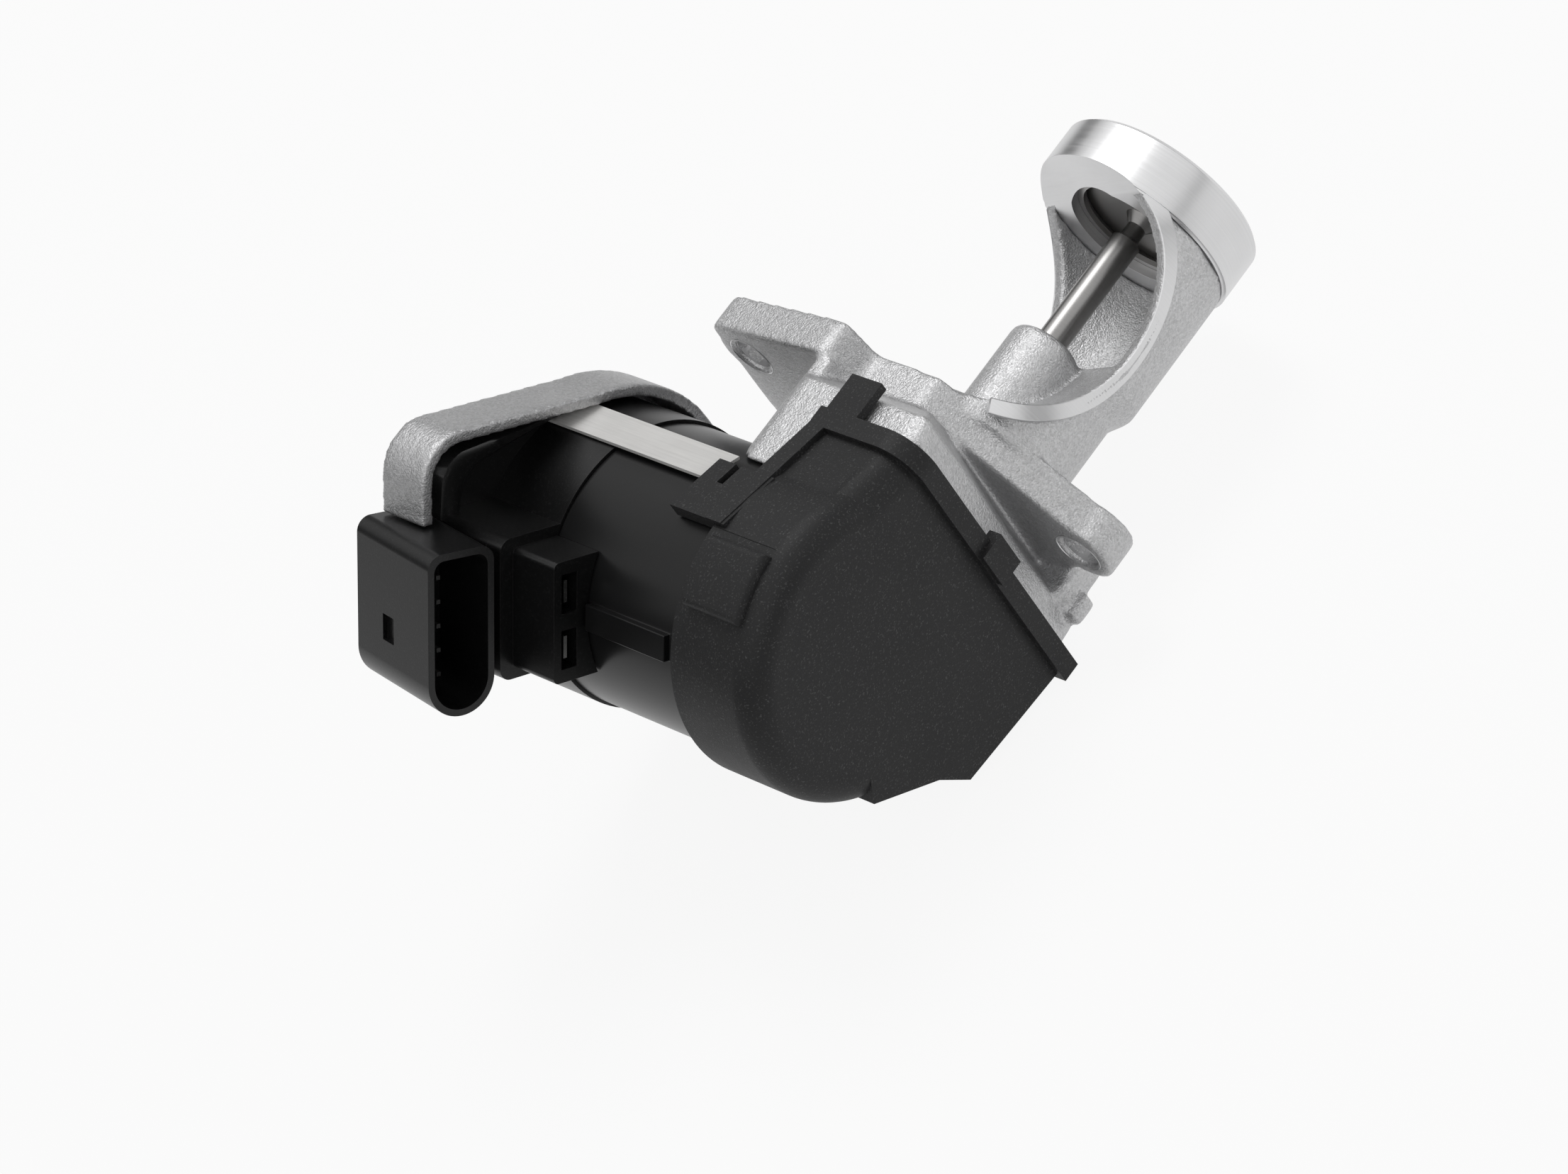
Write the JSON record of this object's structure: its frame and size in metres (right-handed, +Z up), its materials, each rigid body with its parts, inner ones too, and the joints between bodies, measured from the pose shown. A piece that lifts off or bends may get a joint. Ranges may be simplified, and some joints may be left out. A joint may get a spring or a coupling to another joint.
{
  "type": "exhaust gas recirculation valve",
  "caption": "Electric exhaust gas recirculation valve: flanged casting with a side-window pipe and poppet, geared motor under a clipped cover, splayed plug socket.",
  "frame": {"origin": "on the valve stem's axis, in the flange face that meets the engine", "axes": "+X along the stem towards the seat, +Y towards the motor's rear, +Z up"},
  "size_m": [0.1606, 0.0942, 0.0923],
  "materials": {
    "cast_alloy": "cast",
    "machined_alloy": "turned",
    "bracket_alloy": "cast",
    "turned_steel": "turned",
    "polished_steel": "polished",
    "spring_steel": "drawn",
    "plated_steel": "satin",
    "dark_steel": "satin",
    "bright_strip": "polished",
    "bronze": "satin",
    "copper": "satin",
    "seal_rubber": "matte",
    "cover_plastic": "fine texture",
    "housing_plastic": "satin",
    "satin_black": "satin",
    "pale_plastic": "satin",
    "dark_ferrite": "matte",
    "carbon": "matte",
    "board_green": "satin"
  },
  "bodies": {
    "base": {"valve_housing": "cast_alloy", "gas_pipe": "cast_alloy", "end_ring": "machined_alloy", "valve_seat": "turned_steel", "guide_bush": "bronze", "stem_seal": "seal_rubber", "return_spring": "spring_steel", "output_pivot": "turned_steel", "intermediate_pin": "turned_steel", "gear_cover": "cover_plastic", "cover_gasket": "seal_rubber", "motor_screws": "plated_steel", "motor_front_plate": "plated_steel", "front_bearing": "bronze", "motor_front_shell": "satin_black", "motor_can": "plated_steel", "motor_magnets": "dark_ferrite", "brush_plate": "cover_plastic", "motor_brushes": "carbon", "rear_bearing": "bronze", "position_sensor": "board_green", "motor_rear_housing": "housing_plastic", "terminal_blades": "bright_strip", "connector_pins": "bright_strip", "rear_bracket": "bracket_alloy", "bracket_screws": "plated_steel", "clamp_strip": "bright_strip"},
    "rotor": {"rotor_shaft": "turned_steel", "rotor_core": "dark_steel", "rotor_windings": "copper", "commutator": "copper", "motor_pinion": "turned_steel", "position_magnet": "dark_ferrite"},
    "middle": {"intermediate_gear": "pale_plastic"},
    "output": {"output_gear": "pale_plastic", "crank_roller": "turned_steel"},
    "valve": {"valve_poppet": "polished_steel", "drive_yoke": "plated_steel", "spring_retainer": "plated_steel"}
  },
  "joints": [
    {"name": "rotor_spin", "type": "hinge", "parent": "base", "child": "rotor", "pos_m": [-0.049, 0, 0.01], "axis": [0, 1, 0], "range_deg": [0, 490]},
    {"name": "middle_spin", "type": "hinge", "parent": "base", "child": "middle", "pos_m": [-0.0382, 0, 0.0189], "axis": [0, 1, 0], "range_deg": [-210.1, 0.1]},
    {"name": "output_turn", "type": "hinge", "parent": "base", "child": "output", "pos_m": [-0.031, 0, -0.0043], "axis": [0, 1, 0], "range_deg": [-0.1, 60.1]},
    {"name": "valve_slide", "type": "slide", "parent": "base", "child": "valve", "axis": [1, 0, 0], "range_m": [0, 0.00451], "deforming": ["return_spring"]}
  ],
  "couplings": [
    {"joint": "middle_spin", "follows": "rotor_spin", "ratio": -0.42857},
    {"joint": "output_turn", "follows": "rotor_spin", "ratio": 0.12245},
    {"joint": "valve_slide", "follows": "rotor_spin", "m_per_rad": 0.00052619}
  ]
}
